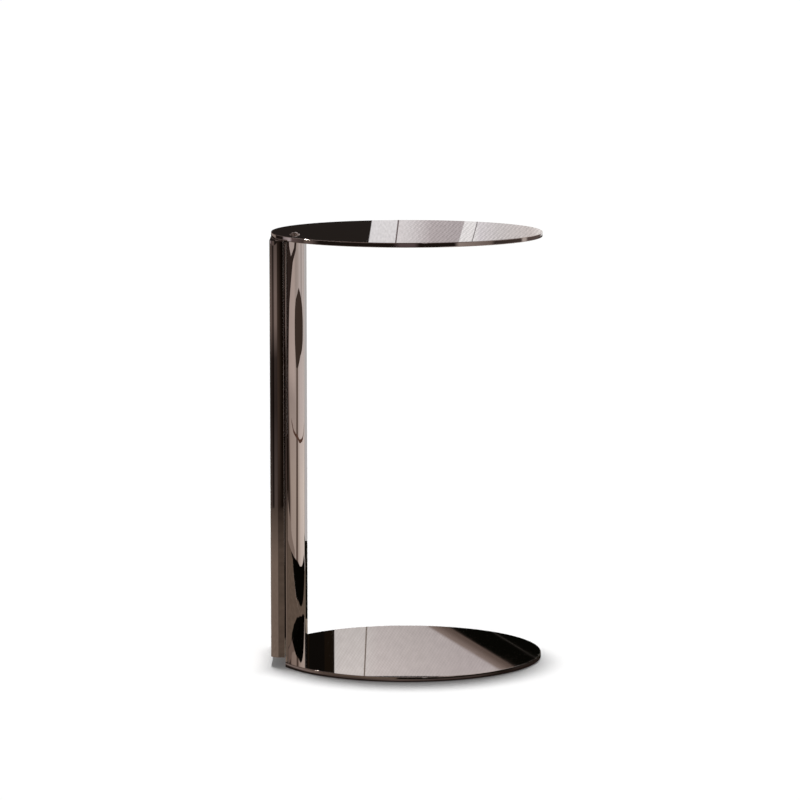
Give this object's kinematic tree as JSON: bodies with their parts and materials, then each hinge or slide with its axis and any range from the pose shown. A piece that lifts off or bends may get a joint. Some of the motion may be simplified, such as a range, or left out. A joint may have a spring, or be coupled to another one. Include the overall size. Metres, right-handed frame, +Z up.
{
  "type": "side table",
  "caption": "C-shaped side table with a thin round top on a sliding rear blade, a fixed column and a round base cut straight at the spine; a button releases the height lock.",
  "frame": {"origin": "on the floor, under the middle of the round top", "axes": "+Z up; the column and the sliding blade stand at -X, so the open side of the C looks towards +X; Y runs across the spine"},
  "size_m": [0.4, 0.4, 0.6396],
  "materials": {
    "dark_nickel": "mirror-polished dark nickel, warm tone",
    "inner_steel": "machined, oiled",
    "screw_steel": "zinc plated",
    "rail_steel": "ground",
    "bright_chrome": "polished",
    "cylinder_paint": "satin black",
    "guide_plastic": "moulded, natural",
    "black_plastic": "fine texture",
    "black_rubber": "matt",
    "felt": "pressed wool felt"
  },
  "bodies": {
    "stand": {"base_plate": "dark_nickel", "base_pads": "felt", "column_shell": "dark_nickel", "column_foot": "inner_steel", "base_screws": "screw_steel", "column_cap": "inner_steel", "cap_screws": "screw_steel", "upper_guide": "guide_plastic", "lower_guide": "guide_plastic", "guide_screws": "screw_steel", "spring_bracket": "inner_steel", "bracket_screws": "screw_steel", "spring_cylinder": "cylinder_paint", "spring_nut": "screw_steel", "rod_gland": "black_plastic", "wear_pads": "guide_plastic", "rest_bumpers": "black_rubber"},
    "lift": {"top_plate": "dark_nickel", "outer_blade": "dark_nickel", "blade_plug": "dark_nickel", "plug_screws": "screw_steel", "blade_end_cap": "black_plastic", "slide_rail": "rail_steel", "backing_bar": "inner_steel", "rail_screws": "screw_steel", "travel_stop": "black_rubber", "stop_screw": "screw_steel", "rod_seat": "inner_steel", "piston_rod": "bright_chrome", "piston": "inner_steel", "piston_ring": "black_rubber", "button_collar": "dark_nickel", "button_spring": "rail_steel"},
    "release": {"release_button": "dark_nickel", "button_clip": "rail_steel", "release_pin": "rail_steel"}
  },
  "joints": [
    {"name": "height_slide", "type": "slide", "parent": "stand", "child": "lift", "axis": [0, 0, 1], "range_m": [0, 0.2]},
    {"name": "button_press", "type": "slide", "parent": "lift", "child": "release", "axis": [0, 0, -1], "range_m": [0, 0.002], "stiffness_N_per_m": 1500, "deforming": ["button_spring"]}
  ]
}
